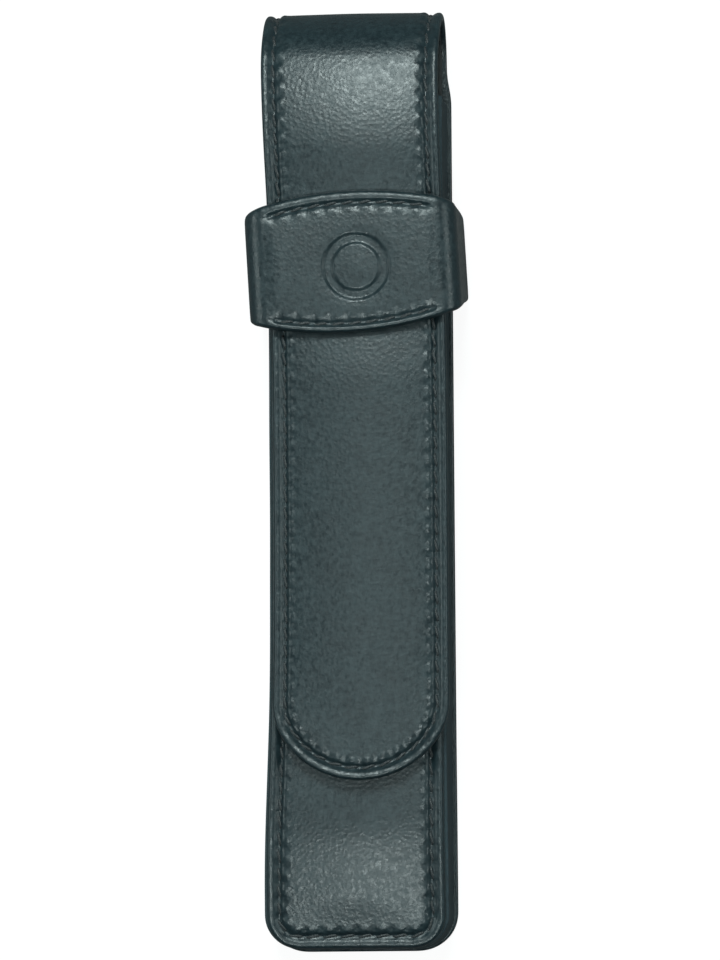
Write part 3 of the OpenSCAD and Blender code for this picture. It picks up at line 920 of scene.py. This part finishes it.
def threadMaterial():
    # bonded polyester thread, waxed, twisted from plies: the twist shows as fine slanting ribs
    material, tree = newMaterial("Black bonded thread")
    inMm = placeInMm(tree, turn=0.6)
    ply = node(tree, "ShaderNodeTexWave", {"Scale": 1.2, "Distortion": 0.6, "Detail": 1.0},
               {"Vector": inMm.outputs[0]})                                        # plies about 0.26 mm apart
    # Painted shade: the colour is darker where the plies' bump is low, in the hollows of the twist.
    colour = ramp(tree, ply.outputs["Fac"], [(0.0, "#101416"), (1.0, "#20272a")])
    bump = node(tree, "ShaderNodeBump", {"Strength": 0.8, "Distance": 0.04 * mm},
                {"Height": ply.outputs["Fac"]})
    shader = node(tree, "ShaderNodeBsdfPrincipled", {"IOR": 1.5, "Roughness": 0.5, "Sheen Weight": 0.1},
                  {"Base Color": colour.outputs["Color"], "Normal": bump.outputs["Normal"]})
    node(tree, "ShaderNodeOutputMaterial", links={0: shader.outputs[0]})
    return material


def boardMaterial(name, light, dark, grain):
    # pressed fibre board and felt, hidden inside the hems: dull, with short fibres
    material, tree = newMaterial(name)
    inMm = placeInMm(tree, (1000, 400, 1000))
    fibre = node(tree, "ShaderNodeTexNoise", {"Scale": grain, "Detail": 3.0}, {"Vector": inMm.outputs[0]})
    colour = ramp(tree, fibre.outputs["Fac"], [(0.35, dark), (0.65, light)])
    bump = node(tree, "ShaderNodeBump", {"Strength": 0.5, "Distance": 0.03 * mm},
                {"Height": fibre.outputs["Fac"]})
    shader = node(tree, "ShaderNodeBsdfPrincipled", {"IOR": 1.45, "Roughness": 0.85},
                  {"Base Color": colour.outputs["Color"], "Normal": bump.outputs["Normal"]})
    node(tree, "ShaderNodeOutputMaterial", links={0: shader.outputs[0]})
    return material


blackLeather = leatherMaterial("Black waxed calf leather", "#131e22", "#172428", "#1c2a2e", 1.5, 0.37)
# Painted light: the gusset is the same black leather, given lighter colours than the rest so that its side
# walls look lit.
gussetLeather = leatherMaterial("Black matt gusset leather with painted side light", "#1f2c31", "#253338", "#2b3a3f", 1.8, 0.8)
liningLeather = leatherMaterial("Dark skiver lining", "#1c2021", "#242829", "#2c3030", 2.4, 0.6, 0.6)
blackThread = threadMaterial()
fibreBoard = boardMaterial("Pressed fibre board", "#8c7f6b", "#756955", 2.2)
softFelt = boardMaterial("Grey felt padding", "#85807a", "#6a655f", 1.4)


def finish(piece, material):
    piece.data.materials.clear()
    piece.data.materials.append(material)


# What each piece is, and which pieces ride on the pouch


replaced = {
    "Leather": {"back": ["back_panel"], "crownTop": ["crown_rear_leather"],
                "crownFront": ["crown_top_leather"],
                "flap": ["crown_front_leather", "flap_leather"], "tail": ["tail_leather"]},
    "Lining": {"back": ["back_lining"], "crownTop": ["crown_rear_lining"], "crownFront": ["crown_top_lining"],
               "flap": ["crown_front_lining", "flap_lining"], "tail": ["tail_lining"]},
    "Thread": {"back": ["back_seam_thread"], "flap": ["flap_thread"], "tail": ["tail_thread"]},
}
for kind, parts, material, slotName in (
        ("Leather", leatherParts, blackLeather, "black_leather"),
        ("Lining", liningParts, liningLeather, "dark_lining"),
        ("Thread", threadParts, blackThread, "thread")):
    for part, piece in parts.items():
        finish(piece, material)
        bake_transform(piece)
        for name in replaced[kind].get(part, []):
            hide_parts(name)

for piece, material, slotName, name in (
        (frontLeather, blackLeather, "black_leather", "front_panel"),
        (frontLining, liningLeather, "dark_lining", "front_lining"),
        (frontThread, blackThread, "thread", "front_seam_thread"),
        (mouthThread, blackThread, "thread", "mouth_thread"),
        (gusset, gussetLeather, "black_leather", "gusset"),
        (band, blackLeather, "black_leather", "band"),
        (bandLining, liningLeather, "dark_lining", "band_lining"),
        (bandThreads["bandUpper"], blackThread, "thread", "band_upper_thread"),
        (bandThreads["bandLower"], blackThread, "thread", "band_lower_thread")):
    finish(piece, material)
    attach(piece, "pouch")
    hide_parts(name)

for piece, name in ((flapFelt, "flap_padding"), (tailFelt, "tail_padding")):
    finish(piece, softFelt)
    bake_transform(piece)
    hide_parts(name)
finish(frontBoard, fibreBoard)
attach(frontBoard, "pouch")
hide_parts("front_stiffener")
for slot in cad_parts["back_stiffener"].material_slots:
    slot.material = fibreBoard


# Floor, light and camera

studio = {"worldGrey": 0.04, "tint": (0.855, 1.0, 0.985),
          "floorGrey": 0.12, "floorGlow": 0.9, "mirrorGlow": 0.03}
lightBoxes = {  # place and aim in metres, width and height, power in watts
    "topBox": ((0.0, 0.62, 0.93), (0, 0.06, 0.01), (0.4, 0.26), 10.8),
    "overBox": ((-0.06, 0.2, 1.0), (0, 0, 0.01), (0.1, 0.2), 0.4),
    "endBox": ((0.0, -0.34, 1.0), (0, -0.06, 0.01), (0.4, 0.12), 4.9),
    "rightBox": ((0.8, 0.1, 0.5), (0, 0, 0.01), (0.5, 0.3), 2.6),
    "leftBox": ((-0.8, 0.1, 0.5), (0, 0, 0.01), (0.5, 0.3), 2.6),
}


def makeFloor():
    bpy.ops.object.select_all(action="DESELECT")
    bpy.ops.mesh.primitive_plane_add(size=3, location=(0, 0, -0.05 * mm))
    floor = bpy.context.object
    floor.name = "paperFloor"
    material, tree = newMaterial("White paper sweep")
    path = node(tree, "ShaderNodeLightPath")
    mirrored = node(tree, "ShaderNodeMath", {"operation": "MAXIMUM"},
                    {0: path.outputs["Is Glossy Ray"], 1: path.outputs["Is Transmission Ray"]})
    mirrored = node(tree, "ShaderNodeMath", {"operation": "MULTIPLY", 1: studio["mirrorGlow"]},
                    {0: mirrored.outputs[0]})
    glow = node(tree, "ShaderNodeMath", {"operation": "MULTIPLY_ADD", 1: studio["floorGlow"]},
                {0: path.outputs["Is Camera Ray"], 2: mirrored.outputs[0]})
    paper = node(tree, "ShaderNodeBsdfDiffuse", {"Color": (*[studio["floorGrey"]] * 3, 1)})
    light = node(tree, "ShaderNodeEmission", {"Color": (1, 1, 1, 1)}, {"Strength": glow.outputs[0]})
    both = node(tree, "ShaderNodeAddShader", links={0: paper.outputs[0], 1: light.outputs[0]})
    node(tree, "ShaderNodeOutputMaterial", links={0: both.outputs[0]})
    floor.data.materials.append(material)


def makeLight(name, place, aim, size, power):
    data = bpy.data.lights.new(name, "AREA")
    data.shape = "RECTANGLE"
    data.size, data.size_y = size
    data.energy = power
    data.color = studio["tint"]
    lamp = bpy.data.objects.new(name, data)
    bpy.context.scene.collection.objects.link(lamp)
    lamp.location = Vector(place)
    lamp.rotation_euler = (Vector(aim) - Vector(place)).to_track_quat("-Z", "Y").to_euler()


makeFloor()
world = bpy.data.worlds.new("Studio grey")
bpy.context.scene.world = world
world.use_nodes = True
world.node_tree.nodes["Background"].inputs[0].default_value = (*[studio["worldGrey"]] * 3, 1)
for name, box in lightBoxes.items():
    makeLight(name, *box)

# Tilts and roll in degrees; how far away in metres; the height of the picture and the aim in mm.
view = {"tiltRight": 5.5, "tiltDown": 5.0, "roll": -0.4, "away": 1.15, "tall": 168.34,
        "aim": (0.55, -0.15, 9.0), "sensor": 24}


def makeCamera():
    data = bpy.data.cameras.new("longLens")
    camera = bpy.data.objects.new("longLens", data)
    bpy.context.scene.collection.objects.link(camera)
    aim = Vector(view["aim"]) * mm
    right, down = math.radians(view["tiltRight"]), math.radians(view["tiltDown"])
    way = Vector((math.tan(right), -math.tan(down), 1)).normalized()
    camera.location = aim + way * view["away"]
    up = Vector((0, 1, 0))
    right = up.cross(way).normalized()
    up = way.cross(right)
    roll = Matrix.Rotation(math.radians(view["roll"]), 4, "Z")
    camera.rotation_euler = (Matrix((right, up, way)).transposed().to_4x4() @ roll).to_euler()
    data.sensor_fit = "VERTICAL"
    data.sensor_height = view["sensor"]
    data.lens = view["sensor"] * view["away"] / (view["tall"] * mm)
    data.clip_start, data.clip_end = 0.05, 20
    bpy.context.scene.camera = camera


makeCamera()
bpy.context.scene.view_settings.view_transform = "Standard"
